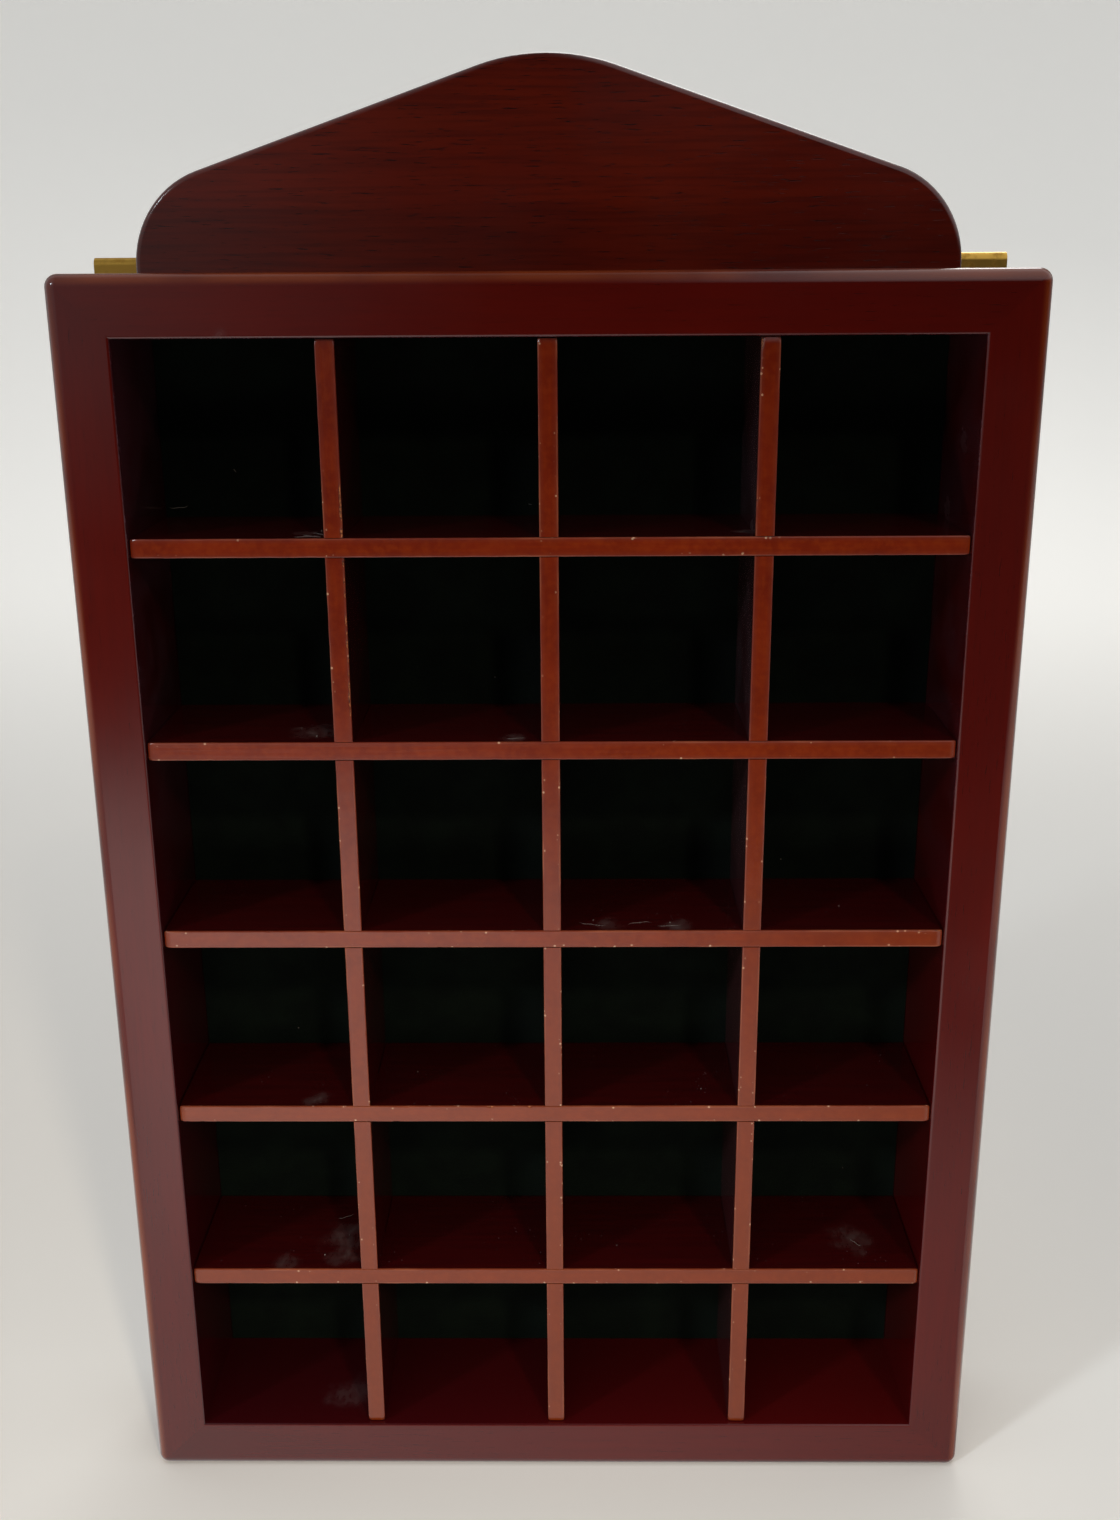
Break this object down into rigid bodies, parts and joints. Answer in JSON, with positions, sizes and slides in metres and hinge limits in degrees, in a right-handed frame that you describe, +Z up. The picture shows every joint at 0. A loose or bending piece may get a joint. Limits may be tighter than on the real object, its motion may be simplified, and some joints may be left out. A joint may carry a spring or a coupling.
{
  "type": "thimble display case",
  "caption": "Open wooden wall case with a gabled pediment, a slatted grid of small square compartments and a felt-lined back panel hinged at the top.",
  "frame": {"origin": "under the middle of the whole box, on the surface that the case stands on", "axes": "+X to the viewer's right, +Y from the open front towards the back panel, +Z up"},
  "size_m": [0.1906, 0.038, 0.3119],
  "materials": {
    "case_lacquer": "gloss dark cherry lacquer",
    "grid_lacquer": "satin cherry lacquer",
    "panel_stain": "satin stain",
    "dowel_wood": "bare",
    "felt": "napped dark green felt",
    "hinge_brass": "polished",
    "hanger_steel": "zinc plated"
  },
  "bodies": {
    "case": {"bottom_board": "case_lacquer", "case_leaf_screws": "hinge_brass", "divider_1": "grid_lacquer", "divider_2": "grid_lacquer", "divider_3": "grid_lacquer", "left_hinge_case_leaf": "hinge_brass", "left_hinge_pin": "hinge_brass", "left_side_board": "case_lacquer", "pediment": "case_lacquer", "pediment_dowels": "dowel_wood", "right_hinge_case_leaf": "hinge_brass", "right_hinge_pin": "hinge_brass", "right_side_board": "case_lacquer", "shelf_1": "grid_lacquer", "shelf_2": "grid_lacquer", "shelf_3": "grid_lacquer", "shelf_4": "grid_lacquer", "shelf_5": "grid_lacquer", "top_board": "case_lacquer"},
    "back": {"back_panel": "panel_stain", "felt_lining": "felt", "hanger_nails": "hanger_steel", "left_hinge_panel_leaf": "hinge_brass", "left_wall_hanger": "hanger_steel", "panel_leaf_screws": "hinge_brass", "right_hinge_panel_leaf": "hinge_brass", "right_wall_hanger": "hanger_steel"}
  },
  "joints": [
    {"name": "back_panel_hinge", "type": "hinge", "parent": "case", "child": "back", "pos_m": [0, 0.01315, 0.2744], "axis": [1, 0, 0], "range_deg": [0, 180]}
  ]
}
